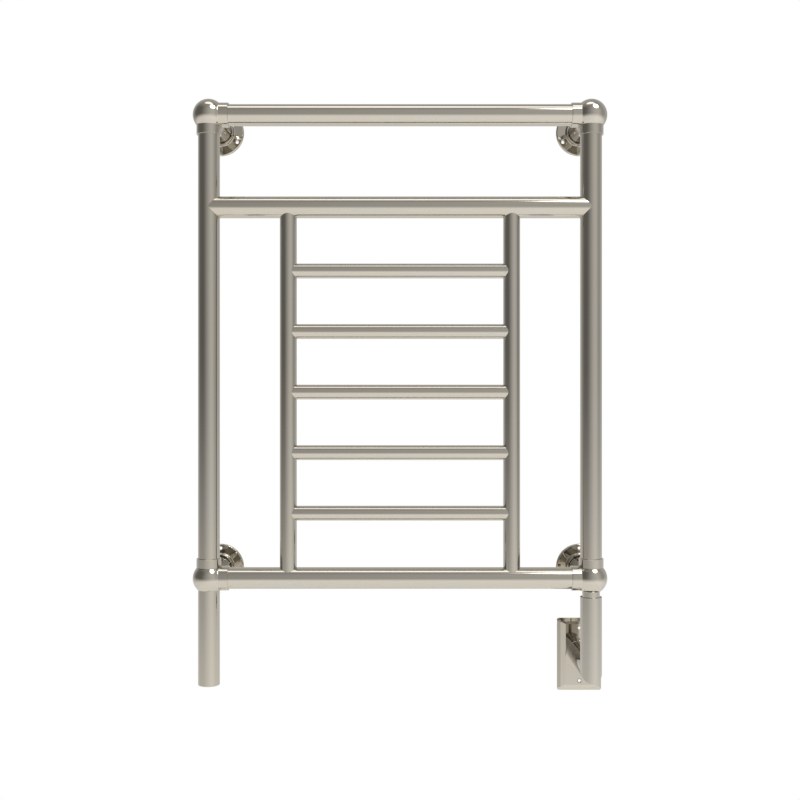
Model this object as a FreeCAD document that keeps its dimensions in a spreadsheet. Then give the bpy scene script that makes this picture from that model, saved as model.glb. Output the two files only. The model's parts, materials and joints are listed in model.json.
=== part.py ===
import FreeCAD, Part
import math
import os
import Sketcher
from FreeCAD import Placement, Rotation, Vector

# A wall-mounted, hard-wired towel warmer rack: round tubes in a ball-jointed frame.
# Millimetres. +X to the right, +Z up, and the wall is the plane Y = 0 with the room towards -Y.
# The origin is on the wall, at the centre of the four wall flanges.

DRIVING_DIMENSIONS = {
    # The frame's layout: axes of the tubes.
    "post_offset": 112,
    "post_half_spacing": 284,
    "ball_half_height": 344,
    "towel_rail_height": 207,
    "upright_half_spacing": 166,
    "first_rung_height": 112.4,
    "rung_pitch": 90,
    # Tubes.
    "main_radius": 16,
    "main_wall": 1.5,
    "upright_radius": 12.5,
    "upright_wall": 1.2,
    "rung_radius": 11,
    "rung_wall": 1.2,
    "post_port_radius": 11,
    "upright_port_radius": 8.5,
    "rung_port_radius": 7,
    # Ball fittings.
    "ball_radius": 24,
    "collar_radius": 18.3,
    "collar_reach": 29.5,
    "collar_bevel": 0.3,
    "socket_stop": 17,
    "leg_socket_stop": 12,
    "waterway_radius": 13,
    # Standoffs between the ball fittings and the wall.
    "sleeve_radius": 17.8,
    "sleeve_wall": 2.5,
    "sleeve_web_back": 29,
    "sleeve_screw_radius": 4,
    "sleeve_screw_clearance": 4.3,
    "sleeve_screw_depth": 8,
    "sleeve_head_radius": 6.5,
    "sleeve_head_height": 8,
    "sleeve_key_radius": 3.4,
    "sleeve_key_depth": 4,
    # Wall flanges.
    "flange_radius": 36.5,
    "flange_thickness": 4,
    "flange_edge_round": 2.2,
    "boss_radius": 21,
    "boss_height": 11,
    "boss_foot_round": 2,
    "boss_lip_round": 0.8,
    "flange_socket_radius": 18.5,
    "flange_floor": 3,
    "flange_screw_circle": 30,
    "flange_screw_radius": 2.6,
    "flange_screw_sink": 3.6,
    "grub_height": 7.2,
    "grub_radius": 2,
    "grub_length": 3.5,
    "grub_key_radius": 1.1,
    "grub_key_depth": 2,
    # Left leg and its filler plug.
    "left_leg_drop": 502.5,
    "leg_rim_round": 1.2,
    "plug_height": 14,
    "plug_recess": 2,
    "plug_key_radius": 5,
    "plug_key_depth": 7,
    "plug_seal_height": 7,
    # Right leg, its neck and the elbow tube that carries the wiring.
    "leg_gap_drop": 27.8,
    "neck_radius": 13,
    "neck_bore_radius": 10,
    "neck_top_drop": 8,
    "neck_shoulder_length": 14,
    "elbow_drop": 482,
    "elbow_tube_back": 2,
    # Heating element.
    "element_radius": 6.35,
    "element_top": 215,
    "element_head_height": 7,
    "seal_thickness_radius": 1,
    "cutout_radius": 8,
    "cutout_height": 6,
    # Wiring inside the right leg.
    "lead_radius": 1.4,
    "lead_spacing": 4.2,
    "lead_bend_radius": 38,
    "terminal_front": 42,
    "terminal_length": 22,
    "terminal_width": 17,
    "terminal_height": 12,
    "terminal_bore_radius": 1.6,
    "terminal_bore_depth": 9,
    "terminal_screw_radius": 1.7,
    "terminal_screw_height": 4,
    "terminal_slot_width": 0.6,
    "terminal_slot_depth": 1.2,
    "bush_bore_radius": 5,
    "bush_length": 9,
    # Wall plate over a single-gang wiring box, and its escutcheon ring.
    "plate_width": 69.9,
    "plate_height": 114.3,
    "plate_depth": 5.6,
    "plate_edge": 1.4,
    "plate_bevel": 5,
    "plate_shoulder": 4.9,
    "plate_face_side_inset": 13.3,
    "plate_face_end_inset": 9.1,
    "plate_corner": 3,
    "plate_face_corner": 1.2,
    "plate_shoulder_round": 1,
    "plate_hollow_depth": 3.2,
    "plate_screw_spacing": 83.3,
    "plate_screw_radius": 2.4,
    "plate_screw_sink": 3.3,
    "ring_radius": 22.3,
    "ring_height": 1.4,
    "ring_edge_round": 1.2,
}

RUNG_COUNT = 5
FLANGE_SCREW_COUNT = 3
SIN_45 = math.sqrt(0.5)

UPRIGHT = Rotation()
ALONG_X = Rotation(Vector(0, 1, 0), 90)
TOWARDS_WALL = Rotation(Vector(1, 0, 0), -90)
TOWARDS_ROOM = Rotation(Vector(1, 0, 0), 90)
UPSIDE_DOWN = Rotation(Vector(1, 0, 0), 180)
DOWN_AND_BACK = Rotation(Vector(0, -1, 0), Vector(0, 0, -1), Vector(1, 0, 0), "XYZ")

doc = FreeCAD.newDocument("towel_warmer_rack")
sheet = doc.addObject("Spreadsheet::Sheet", "dims")
sub_parts = []


class Size:
    """A length that knows its value and the spreadsheet expression that it comes from."""

    def __init__(self, value, text):
        self.value = value
        self.text = text

    def __add__(self, other):
        other = as_size(other)
        return Size(self.value + other.value, f"({self.text} + {other.text})")

    def __sub__(self, other):
        other = as_size(other)
        return Size(self.value - other.value, f"({self.text} - {other.text})")

    def __mul__(self, factor):
        return Size(self.value * factor, f"({self.text} * {factor})")

    def __neg__(self):
        return self * -1


def as_size(number):
    return number if isinstance(number, Size) else Size(number, str(number))


def fill_sheet():
    """Write every driving dimension to its own named cell."""
    for row, (alias, value) in enumerate(DRIVING_DIMENSIONS.items(), start=1):
        sheet.set(f"A{row}", alias)
        sheet.set(f"B{row}", str(value))
        sheet.setAlias(f"B{row}", alias)
    doc.recompute()


def dim(alias):
    return Size(DRIVING_DIMENSIONS[alias], f"dims.{alias}")


def place(item, at=(0, 0, 0), rotation=UPRIGHT):
    """Put an object at a point, each coordinate bound to the sheet."""
    point = [as_size(coordinate) for coordinate in at]
    item.Placement = Placement(Vector(*[size.value for size in point]), rotation)
    for axis, size in zip("xyz", point):
        item.setExpression(f".Placement.Base.{axis}", size.text)
    return item


def finish(item, node, at=(0, 0, 0), rotation=UPRIGHT):
    """Name a finished object as a sub-part and put it in its place in the rack."""
    item.Label = node
    sub_parts.append(item)
    return place(item, at, rotation)


def cylinder(radius, length, at=(0, 0, 0), rotation=UPRIGHT):
    item = doc.addObject("Part::Cylinder", "round_bar")
    item.setExpression("Radius", as_size(radius).text)
    item.setExpression("Height", as_size(length).text)
    return place(item, at, rotation)


def cone(start_radius, end_radius, length, at=(0, 0, 0), rotation=UPRIGHT):
    item = doc.addObject("Part::Cone", "taper")
    item.setExpression("Radius1", as_size(start_radius).text)
    item.setExpression("Radius2", as_size(end_radius).text)
    item.setExpression("Height", as_size(length).text)
    return place(item, at, rotation)


def sphere(radius, at=(0, 0, 0)):
    item = doc.addObject("Part::Sphere", "ball")
    item.setExpression("Radius", as_size(radius).text)
    return place(item, at)


def box(width, depth, height, at=(0, 0, 0), rotation=UPRIGHT):
    item = doc.addObject("Part::Box", "block")
    item.setExpression("Length", as_size(width).text)
    item.setExpression("Width", as_size(depth).text)
    item.setExpression("Height", as_size(height).text)
    return place(item, at, rotation)


def hexagon(circumradius, length, at=(0, 0, 0), rotation=UPRIGHT):
    item = doc.addObject("Part::Prism", "hexagon")
    item.Polygon = 6
    item.setExpression("Circumradius", as_size(circumradius).text)
    item.setExpression("Height", as_size(length).text)
    return place(item, at, rotation)


def fuse(*items):
    if len(items) == 1:
        return items[0]
    whole = doc.addObject("Part::MultiFuse", "joined")
    whole.Shapes = list(items)
    return whole


def cut(base, *tools):
    rest = doc.addObject("Part::Cut", "cut")
    rest.Base = base
    rest.Tool = fuse(*tools)
    return rest


def group(*items):
    """Several separate solids of the same kind kept as one sub-part."""
    together = doc.addObject("Part::Compound", "group")
    together.Links = list(items)
    return together


def tube(radius, wall, length, at=(0, 0, 0), rotation=UPRIGHT):
    outside = cylinder(radius, length, at, rotation)
    inside = cylinder(radius - wall, length, at, rotation)
    return cut(outside, inside)


def origin_plane(body, role):
    return next(item for item in body.Origin.OriginFeatures if item.Role == role)


def new_sketch(body, role, height=0):
    """A sketch on one of the body's own origin planes, raised by a height."""
    sketch = body.newObject("Sketcher::SketchObject", "outline")
    sketch.AttachmentSupport = [(origin_plane(body, role), "")]
    sketch.MapMode = "FlatFace"
    sketch.setExpression(".AttachmentOffset.Base.z", as_size(height).text)
    return sketch


def pin_point(sketch, edge, end, point):
    """Hold one end of an edge at a point given by two sizes."""
    for kind, size in zip(("DistanceX", "DistanceY"), point):
        index = sketch.addConstraint(Sketcher.Constraint(kind, -1, 1, edge, end, size.value))
        sketch.setExpression(f"Constraints[{index}]", size.text)


def towards(corner, neighbour, distance):
    """The point at a distance from a corner along the level or upright line to its neighbour."""
    moved = []
    for here, there in zip(corner, neighbour):
        step = there.value - here.value
        sign = (step > 1e-9) - (step < -1e-9)
        moved.append(here + distance * sign if sign else here)
    return moved


def as_vector(point):
    return Vector(point[0].value, point[1].value, 0)


def draw_outline(sketch, corners):
    """
    A closed outline of level and upright lines, with its corners in anticlockwise order.
    A corner is two sizes, and a third one is the radius that rounds it.
    """
    points = [[as_size(corner[0]), as_size(corner[1])] for corner in corners]
    stops = []
    for index, corner in enumerate(corners):
        point = points[index]
        if len(corner) == 2:
            stops.append((point, None, None))
            continue
        before = towards(point, points[index - 1], corner[2])
        after = towards(point, points[(index + 1) % len(points)], corner[2])
        centre = as_vector(before) + as_vector(after) - as_vector(point)
        stops.append((before, corner[2], centre))
        stops.append((after, None, None))
    count = len(stops)
    ends = []
    for index, (start, radius, centre) in enumerate(stops):
        first = as_vector(start)
        last = as_vector(stops[(index + 1) % count][0])
        ends.append((1, 2))
        if radius is None:
            sketch.addGeometry(Part.LineSegment(first, last))
            continue
        outward = (first + last) * 0.5 - centre
        middle = centre + outward.normalize() * radius.value
        if (first - centre).cross(last - centre).z < 0:
            first, last = last, first
            ends[index] = (2, 1)
        sketch.addGeometry(Part.Arc(first, middle, last))
    for index, (start, radius, centre) in enumerate(stops):
        following = (index + 1) % count
        link = Sketcher.Constraint("Coincident", index, ends[index][1], following, ends[following][0])
        sketch.addConstraint(link)
        pin_point(sketch, index, ends[index][0], start)
        if radius is not None:
            number = sketch.addConstraint(Sketcher.Constraint("Radius", index, radius.value))
            sketch.setExpression(f"Constraints[{number}]", radius.text)


def draw_circle(sketch, radius, at=(0, 0)):
    centre = [as_size(at[0]), as_size(at[1])]
    circle = sketch.addGeometry(Part.Circle(as_vector(centre), Vector(0, 0, 1), radius.value))
    pin_point(sketch, circle, 3, centre)
    number = sketch.addConstraint(Sketcher.Constraint("Radius", circle, radius.value))
    sketch.setExpression(f"Constraints[{number}]", radius.text)


def turned(corners):
    """A body turned about its own Z axis from an outline of (radius, height) corners."""
    body = doc.addObject("PartDesign::Body", "turned")
    sketch = new_sketch(body, "XZ_Plane")
    draw_outline(sketch, corners)
    turning = body.newObject("PartDesign::Revolution", "turning")
    turning.Profile = sketch
    turning.ReferenceAxis = (sketch, ["V_Axis"])
    turning.Angle = 360
    return body


def pocket(body, sketch, depth, reverse=False):
    """Cut a sketch into a body, and make sure that it really removes material."""
    doc.recompute()
    volume_before = body.Shape.Volume
    item = body.newObject("PartDesign::Pocket", "pocket")
    item.Profile = sketch
    item.setExpression("Length", as_size(depth).text)
    item.Reversed = reverse
    doc.recompute()
    if body.Shape.Volume > volume_before - 1e-3:
        raise RuntimeError(f"{body.Name}: the pocket cuts nothing")
    return item


def countersunk_hole(body, sketch, radius, sink_radius):
    """A through hole with a conical sink at each circle of a sketch."""
    doc.recompute()
    volume_before = body.Shape.Volume
    hole = body.newObject("PartDesign::Hole", "screw_hole")
    hole.Profile = sketch
    hole.Threaded = False
    hole.DepthType = "ThroughAll"
    hole.HoleCutType = "Countersink"
    hole.setExpression("Diameter", (radius * 2).text)
    hole.setExpression("HoleCutDiameter", (sink_radius * 2).text)
    hole.HoleCutCountersinkAngle = 90
    doc.recompute()
    if body.Shape.Volume > volume_before - 1e-3:
        raise RuntimeError(f"{body.Name}: the hole cuts nothing")
    return hole


def corner_name(right, upper):
    return ("upper_" if upper > 0 else "lower_") + ("right" if right > 0 else "left")


def side_name(right):
    return "right" if right > 0 else "left"


CORNERS = [(right, upper) for upper in (1, -1) for right in (-1, 1)]


def direction_to(axis, sign):
    """The rotation that turns a piece's own +Z to one way along an axis."""
    if axis == "x":
        return Rotation(Vector(0, 1, 0), 90 * sign)
    if axis == "y":
        return TOWARDS_WALL if sign > 0 else TOWARDS_ROOM
    return UPRIGHT if sign > 0 else UPSIDE_DOWN


def along(axis, sign, distance):
    step = distance * sign
    return (step, 0, 0) if axis == "x" else (0, 0, step)


# Frame tubes ----------------------------------------------------------------------------------

def build_posts():
    """Two posts between the ball fittings, ported on the inner side to the towel rail."""
    half_length = dim("ball_half_height") - dim("socket_stop")
    for right in (-1, 1):
        start = (0, 0, -half_length)
        barrel = tube(dim("main_radius"), dim("main_wall"), half_length * 2, start)
        port = cylinder(dim("post_port_radius"), dim("main_radius") * 2,
                        (0, 0, dim("towel_rail_height")), direction_to("x", -right))
        at = (dim("post_half_spacing") * right, -dim("post_offset"), 0)
        finish(cut(barrel, port), side_name(right) + "_post", at)


def build_rails():
    """The straight top and bottom rails, and the towel rail coped to the posts."""
    half_span = dim("post_half_spacing")
    straight_half = half_span - dim("socket_stop")
    wall_gap = -dim("post_offset")
    radius = dim("main_radius")
    wall = dim("main_wall")

    top = tube(radius, wall, straight_half * 2, (-straight_half, 0, 0), ALONG_X)
    finish(top, "top_rail", (0, wall_gap, dim("ball_half_height")))

    bottom = tube(radius, wall, straight_half * 2, (-straight_half, 0, 0), ALONG_X)
    bottom_ports = [cylinder(dim("upright_port_radius"), radius, (dim("upright_half_spacing") * side, 0, 0))
                    for side in (-1, 1)]
    finish(cut(bottom, *bottom_ports), "bottom_rail", (0, wall_gap, -dim("ball_half_height")))

    towel = tube(radius, wall, half_span * 2, (-half_span, 0, 0), ALONG_X)
    copes = [cylinder(radius, radius * 4, (half_span * side, 0, radius * -2)) for side in (-1, 1)]
    towel_ports = [cylinder(dim("upright_port_radius"), radius,
                            (dim("upright_half_spacing") * side, 0, 0), UPSIDE_DOWN)
                   for side in (-1, 1)]
    finish(cut(towel, *copes, *towel_ports), "towel_rail", (0, wall_gap, dim("towel_rail_height")))


def rung_height(number):
    return dim("first_rung_height") - dim("rung_pitch") * number


def build_inner_uprights():
    """Two thinner uprights, coped under the towel rail and onto the bottom rail."""
    bottom = -dim("ball_half_height")
    length = dim("towel_rail_height") - bottom
    rail_radius = dim("main_radius")
    for right in (-1, 1):
        barrel = tube(dim("upright_radius"), dim("upright_wall"), length, (0, 0, bottom))
        copes = [cylinder(rail_radius, rail_radius * 4, (rail_radius * -2, 0, height), ALONG_X)
                 for height in (bottom, dim("towel_rail_height"))]
        ports = [cylinder(dim("rung_port_radius"), dim("upright_radius"), (0, 0, rung_height(number)),
                          direction_to("x", -right)) for number in range(RUNG_COUNT)]
        at = (dim("upright_half_spacing") * right, -dim("post_offset"), 0)
        finish(cut(barrel, *copes, *ports), side_name(right) + "_inner_upright", at)


def build_rungs():
    """Five thin rungs coped to the inner uprights, counted from the top."""
    half_span = dim("upright_half_spacing")
    upright_radius = dim("upright_radius")
    for number in range(RUNG_COUNT):
        barrel = tube(dim("rung_radius"), dim("rung_wall"), half_span * 2, (-half_span, 0, 0), ALONG_X)
        copes = [cylinder(upright_radius, upright_radius * 4, (half_span * side, 0, upright_radius * -2))
                 for side in (-1, 1)]
        at = (0, -dim("post_offset"), rung_height(number))
        finish(cut(barrel, *copes), f"rung_{number + 1}", at)


# Ball fittings and standoffs ------------------------------------------------------------------

def build_ball_fittings():
    """
    Four forged ball fittings. Each has a collar for its rail, a collar for its post and a
    threaded blind hole at the back for the sleeve screw. The lower left one also holds the
    left leg, and the lower right one is open below for the heating element and the neck.
    """
    straight_collar = dim("collar_reach") - dim("collar_bevel")
    socket_length = dim("collar_reach") - dim("socket_stop")
    for right, upper in CORNERS:
        solids = [sphere(dim("ball_radius"))]
        hollows = [sphere(dim("waterway_radius"))]
        for axis, sign in (("x", -right), ("z", -upper)):
            turn = direction_to(axis, sign)
            solids.append(cylinder(dim("collar_radius"), straight_collar, (0, 0, 0), turn))
            solids.append(cone(dim("collar_radius"), dim("collar_radius") - dim("collar_bevel"),
                               dim("collar_bevel"), along(axis, sign, straight_collar), turn))
            hollows.append(cylinder(dim("waterway_radius"), dim("collar_reach"), (0, 0, 0), turn))
            hollows.append(cylinder(dim("main_radius"), socket_length,
                                    along(axis, sign, dim("socket_stop")), turn))
        if upper < 0:
            leg_hollow = dim("waterway_radius") if right > 0 else dim("main_radius")
            hollows.append(cylinder(dim("waterway_radius"), dim("ball_radius"), (0, 0, 0), UPSIDE_DOWN))
            hollows.append(cylinder(leg_hollow, dim("ball_radius"),
                                    (0, 0, -dim("leg_socket_stop")), UPSIDE_DOWN))
        thread_start = dim("ball_radius") - dim("sleeve_screw_depth")
        hollows.append(cylinder(dim("sleeve_screw_radius"), dim("ball_radius"),
                                (0, thread_start, 0), TOWARDS_WALL))
        at = (dim("post_half_spacing") * right, -dim("post_offset"), dim("ball_half_height") * upper)
        finish(cut(fuse(*solids), *hollows), corner_name(right, upper) + "_ball", at)


def build_standoff_sleeves():
    """
    Tubes seated on the backs of the balls and their collars, each with a web that its screw
    pulls against. A sleeve's own Z axis points to the wall and its Y axis points down.
    """
    sleeve_end = dim("post_offset") - dim("flange_floor")
    for right, upper in CORNERS:
        barrel = cylinder(dim("sleeve_radius"), sleeve_end)
        seat = fuse(
            sphere(dim("ball_radius")),
            cylinder(dim("collar_radius"), dim("collar_reach"), (0, 0, 0), direction_to("x", -right)),
            cylinder(dim("collar_radius"), dim("collar_reach"), (0, 0, 0), direction_to("y", upper)),
        )
        bore = cylinder(dim("sleeve_radius") - dim("sleeve_wall"), sleeve_end,
                        (0, 0, dim("sleeve_web_back")))
        screw_hole = cylinder(dim("sleeve_screw_clearance"), dim("sleeve_web_back"))
        at = (dim("post_half_spacing") * right, -dim("post_offset"), dim("ball_half_height") * upper)
        finish(cut(barrel, seat, bore, screw_hole), corner_name(right, upper) + "_sleeve", at,
               TOWARDS_WALL)


def cap_screw(at):
    """A socket cap screw with its tip at the point given and its head towards the wall."""
    tip = dim("ball_radius") - dim("sleeve_screw_depth")
    shank = cylinder(dim("sleeve_screw_radius"), dim("sleeve_web_back") - tip, (0, 0, tip))
    head = cylinder(dim("sleeve_head_radius"), dim("sleeve_head_height"), (0, 0, dim("sleeve_web_back")))
    key_floor = dim("sleeve_web_back") + dim("sleeve_head_height") - dim("sleeve_key_depth")
    key = hexagon(dim("sleeve_key_radius"), dim("sleeve_key_depth"), (0, 0, key_floor))
    return place(cut(fuse(shank, head), key), at, TOWARDS_WALL)


def build_sleeve_screws():
    screws = [cap_screw((dim("post_half_spacing") * right, -dim("post_offset"),
                         dim("ball_half_height") * upper)) for right, upper in CORNERS]
    finish(group(*screws), "sleeve_screws")


def build_wall_flanges():
    """Round flanges with three screw holes and a raised boss that the sleeve enters."""
    for right, upper in CORNERS:
        body = turned([
            (0, 0),
            (dim("flange_radius"), 0),
            (dim("flange_radius"), dim("flange_thickness"), dim("flange_edge_round")),
            (dim("boss_radius"), dim("flange_thickness"), dim("boss_foot_round")),
            (dim("boss_radius"), dim("boss_height"), dim("boss_lip_round")),
            (dim("flange_socket_radius"), dim("boss_height")),
            (dim("flange_socket_radius"), dim("flange_floor")),
            (0, dim("flange_floor")),
        ])
        hole_sketch = new_sketch(body, "XY_Plane", dim("flange_thickness"))
        draw_circle(hole_sketch, dim("flange_screw_radius"), (0, dim("flange_screw_circle")))
        hole = countersunk_hole(body, hole_sketch, dim("flange_screw_radius"), dim("flange_screw_sink"))
        pattern = body.newObject("PartDesign::PolarPattern", "screw_holes")
        pattern.Originals = [hole]
        pattern.Axis = (hole_sketch, ["N_Axis"])
        pattern.Angle = 360
        pattern.Occurrences = FLANGE_SCREW_COUNT
        body.Tip = pattern
        grub_sketch = new_sketch(body, "XZ_Plane")
        draw_circle(grub_sketch, dim("grub_radius"), (0, dim("grub_height")))
        body.Tip = pocket(body, grub_sketch, dim("boss_radius") * 2, reverse=True)
        at = (dim("post_half_spacing") * right, 0, dim("ball_half_height") * upper)
        finish(body, corner_name(right, upper) + "_flange", at, TOWARDS_ROOM)


def grub_screw(at):
    """A socket set screw that points up, with its key socket below."""
    shank = cylinder(dim("grub_radius"), dim("grub_length"))
    key = hexagon(dim("grub_key_radius"), dim("grub_key_depth"))
    return place(cut(shank, key), at)


def build_grub_screws():
    screws = []
    for right, upper in CORNERS:
        tip = dim("ball_half_height") * upper - dim("sleeve_radius")
        screws.append(grub_screw((dim("post_half_spacing") * right, -dim("grub_height"),
                                  tip - dim("grub_length"))))
    finish(group(*screws), "sleeve_grub_screws")


# Left leg -------------------------------------------------------------------------------------

def build_left_leg():
    """A plain leg with a rounded rim, closed inside by the filler plug and its seal."""
    top = -dim("ball_half_height") - dim("leg_socket_stop")
    length = dim("left_leg_drop") + top
    bore_radius = dim("main_radius") - dim("main_wall")
    axis_at = (-dim("post_half_spacing"), -dim("post_offset"), -dim("left_leg_drop"))
    leg = turned([
        (bore_radius, 0),
        (dim("main_radius"), 0, dim("leg_rim_round")),
        (dim("main_radius"), length),
        (bore_radius, length),
    ])
    finish(leg, "left_leg", axis_at)

    groove_floor = bore_radius - dim("seal_thickness_radius") * 2
    groove_top = dim("plug_seal_height") + dim("seal_thickness_radius")
    groove_bottom = dim("plug_seal_height") - dim("seal_thickness_radius")
    plug = turned([
        (0, 0),
        (bore_radius, 0),
        (bore_radius, groove_bottom),
        (groove_floor, groove_bottom),
        (groove_floor, groove_top),
        (bore_radius, groove_top),
        (bore_radius, dim("plug_height")),
        (0, dim("plug_height")),
    ])
    key = hexagon(dim("plug_key_radius"), dim("plug_key_depth"))
    recessed = (-dim("post_half_spacing"), -dim("post_offset"), -dim("left_leg_drop") + dim("plug_recess"))
    finish(cut(plug, key), "filler_plug", recessed)
    finish(seal_ring(bore_radius), "filler_plug_seal",
           (recessed[0], recessed[1], recessed[2] + dim("plug_seal_height")))


def seal_ring(bore_radius):
    """An O-ring that touches a bore of the radius given."""
    ring = doc.addObject("Part::Torus", "seal_ring")
    ring.setExpression("Radius1", (bore_radius - dim("seal_thickness_radius")).text)
    ring.setExpression("Radius2", dim("seal_thickness_radius").text)
    return ring


# Heating element ------------------------------------------------------------------------------

def right_axis_at(height):
    return (dim("post_half_spacing"), -dim("post_offset"), height)


def build_heating_element():
    """A cartridge rod up the right post, its sealed head, and the thermal cut-out below it."""
    head_bottom = -dim("ball_half_height") - dim("neck_top_drop")
    head_top = head_bottom + dim("element_head_height")
    rod = cylinder(dim("element_radius"), dim("element_top") - head_top)
    finish(rod, "heating_element", right_axis_at(head_top))

    middle = dim("element_head_height") * 0.5
    groove_floor = dim("waterway_radius") - dim("seal_thickness_radius") * 2
    head = turned([
        (0, 0),
        (dim("waterway_radius"), 0),
        (dim("waterway_radius"), middle - dim("seal_thickness_radius")),
        (groove_floor, middle - dim("seal_thickness_radius")),
        (groove_floor, middle + dim("seal_thickness_radius")),
        (dim("waterway_radius"), middle + dim("seal_thickness_radius")),
        (dim("waterway_radius"), dim("element_head_height")),
        (0, dim("element_head_height")),
    ])
    finish(head, "element_head", right_axis_at(head_bottom))
    finish(seal_ring(dim("waterway_radius")), "element_seal", right_axis_at(head_bottom + middle))
    cutout = cylinder(dim("cutout_radius"), dim("cutout_height"))
    finish(cutout, "thermal_cutout", right_axis_at(head_bottom - dim("cutout_height")))


# Right leg and wiring -------------------------------------------------------------------------

def build_leg_neck():
    """The neck between the lower right ball and the right leg, bored for the leads."""
    leg_bore = dim("main_radius") - dim("main_wall")
    shoulder = dim("neck_shoulder_length")
    top = shoulder + dim("leg_gap_drop") - dim("neck_top_drop")
    neck = turned([
        (dim("neck_bore_radius"), 0),
        (leg_bore, 0),
        (leg_bore, shoulder),
        (dim("neck_radius"), shoulder),
        (dim("neck_radius"), top),
        (dim("neck_bore_radius"), top),
    ])
    finish(neck, "leg_neck", right_axis_at(-dim("ball_half_height") - dim("leg_gap_drop") - shoulder))


def mitre_block(above):
    """A block on one side of the slanting plane where the leg meets the elbow tube."""
    size = dim("main_radius") * 6
    half = dim("main_radius") * 3
    slant = half * SIN_45
    at = (-half, -slant, -slant) if above else (-half, 0, slant * -2)
    return box(size, size, half, at, Rotation(Vector(1, 0, 0), 45))


def build_right_leg():
    """The leg and the elbow tube, mitred and brazed into a square corner."""
    radius = dim("main_radius")
    leg_top = dim("elbow_drop") - dim("ball_half_height") - dim("leg_gap_drop")
    leg = tube(radius, dim("main_wall"), leg_top + radius, (0, 0, -radius))
    finish(cut(leg, mitre_block(above=False)), "right_leg", right_axis_at(-dim("elbow_drop")))

    run = dim("post_offset") - dim("elbow_tube_back") + radius
    elbow = tube(radius, dim("main_wall"), run, (0, -radius, 0), TOWARDS_WALL)
    finish(cut(elbow, mitre_block(above=True)), "elbow_tube", right_axis_at(-dim("elbow_drop")))


def build_leads():
    """Three leads side by side: down the leg, round one bend, back to the terminal block."""
    bend = dim("lead_bend_radius")
    start_height = (dim("elbow_drop") - dim("ball_half_height") - dim("neck_top_drop")
                    - dim("cutout_height"))
    run_back = dim("post_offset") - dim("terminal_front") - bend
    for place_in_row, name in enumerate(("line_lead", "earth_lead", "neutral_lead")):
        down = cylinder(dim("lead_radius"), start_height - bend, (0, 0, bend))
        turn = doc.addObject("Part::Torus", "lead_bend")
        turn.setExpression("Radius1", bend.text)
        turn.setExpression("Radius2", dim("lead_radius").text)
        turn.Angle3 = 90
        place(turn, (0, bend, bend), DOWN_AND_BACK)
        back = cylinder(dim("lead_radius"), run_back, (0, bend, 0), TOWARDS_WALL)
        sideways = dim("post_half_spacing") + dim("lead_spacing") * (place_in_row - 1)
        finish(fuse(down, turn, back), name, (sideways, -dim("post_offset"), -dim("elbow_drop")))


def build_terminal_block():
    """A three-way terminal block in the elbow tube, with a screw over each way."""
    width = dim("terminal_width")
    length = dim("terminal_length")
    height = dim("terminal_height")
    middle = (dim("post_half_spacing"), -dim("terminal_front"), -dim("elbow_drop"))
    block = box(width, length, height, (width * -0.5, 0, height * -0.5))
    ways = [dim("lead_spacing") * (place_in_row - 1) for place_in_row in range(3)]
    hollows = []
    screws = []
    for way in ways:
        hollows.append(cylinder(dim("terminal_bore_radius"), dim("terminal_bore_depth"),
                                (way, length - dim("terminal_bore_depth"), 0), TOWARDS_WALL))
        screw_at = (way, length * 0.5, height * 0.5 - dim("terminal_screw_height"))
        hollows.append(cylinder(dim("terminal_screw_radius"), dim("terminal_screw_height"), screw_at))
        shank = cylinder(dim("terminal_screw_radius"), dim("terminal_screw_height"), screw_at)
        slot_at = (way - dim("terminal_screw_radius"), length * 0.5 - dim("terminal_slot_width") * 0.5,
                   height * 0.5 - dim("terminal_slot_depth"))
        slot = box(dim("terminal_screw_radius") * 2, dim("terminal_slot_width"),
                   dim("terminal_slot_depth"), slot_at)
        screws.append(cut(shank, slot))
    finish(cut(block, *hollows), "terminal_block", middle)
    finish(group(*screws), "terminal_screws", middle)


def build_lead_bush():
    """A rubber bush in the wall end of the elbow tube, where the supply wires enter."""
    leg_bore = dim("main_radius") - dim("main_wall")
    bush = turned([
        (dim("bush_bore_radius"), 0),
        (leg_bore, 0),
        (leg_bore, dim("bush_length")),
        (dim("bush_bore_radius"), dim("bush_length")),
    ])
    at = (dim("post_half_spacing"), -dim("elbow_tube_back"), -dim("elbow_drop"))
    finish(bush, "lead_bush", at, TOWARDS_ROOM)


# Wall plate -----------------------------------------------------------------------------------

def rounded_rectangle(sketch, half_width, half_height, corner):
    draw_outline(sketch, [
        (-half_width, -half_height, corner),
        (half_width, -half_height, corner),
        (half_width, half_height, corner),
        (-half_width, half_height, corner),
    ])


def edges_at_height(shape, height):
    """Names of the edges that lie in the level plane at a height."""
    names = []
    for number, edge in enumerate(shape.Edges, start=1):
        bounds = edge.BoundBox
        if abs(bounds.ZMin - height) < 1e-4 and abs(bounds.ZMax - height) < 1e-4:
            names.append(f"Edge{number}")
    return names


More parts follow.
